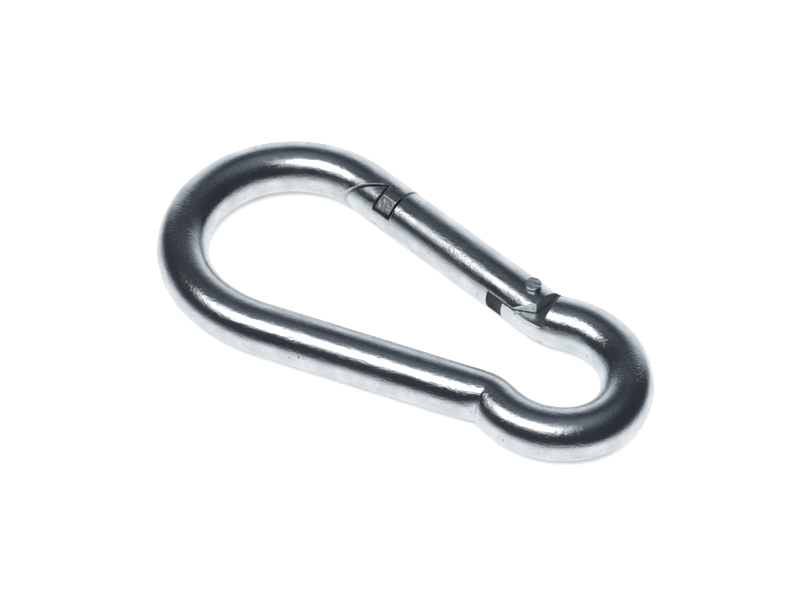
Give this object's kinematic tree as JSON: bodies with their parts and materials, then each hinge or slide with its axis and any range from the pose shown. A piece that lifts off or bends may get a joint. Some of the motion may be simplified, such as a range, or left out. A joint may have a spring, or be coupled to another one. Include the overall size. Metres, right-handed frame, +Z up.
{
  "type": "spring snap hook",
  "caption": "Pear-shaped spring snap hook bent from round bar, with a small eye, a bar gate that swings inward on a rivet pin, and an arrow-head nose catch.",
  "frame": {"origin": "middle of the outline, on the surface that the hook lies on", "axes": "+X from the large bow to the small eye, +Y towards the gate's side, +Z up, square to the plane of the hook"},
  "size_m": [0.1042, 0.0519, 0.011],
  "materials": {
    "body_zinc": "bright zinc plating over bent round bar, slightly speckled, with a faint blue tone",
    "gate_zinc": "bright zinc plating over turned and milled bar",
    "pin_steel": "zinc plated rivet pin with a plain chamfered end",
    "plunger_steel": "plain turned steel",
    "spring_steel": "drawn spring wire"
  },
  "bodies": {
    "body": {"body": "body_zinc"},
    "gate": {"gate": "gate_zinc", "hinge_pin": "pin_steel", "closing_spring": "spring_steel"},
    "plunger": {"plunger": "plunger_steel"}
  },
  "joints": [
    {"name": "gate_hinge", "type": "hinge", "parent": "body", "child": "gate", "pos_m": [0.0203, 0.01282, 0.005], "axis": [0, 0, 1], "range_deg": [0, 41], "stiffness_Nm_per_rad": 0.08, "springref_deg": -8.59},
    {"name": "plunger_slide", "type": "slide", "parent": "gate", "child": "plunger", "axis": [-0.9805, 0.1965, 0], "range_m": [0, 0.0023], "deforming": ["closing_spring"]}
  ],
  "couplings": [
    {"joint": "plunger_slide", "follows": "gate_hinge", "m_per_rad": 0.00315}
  ]
}
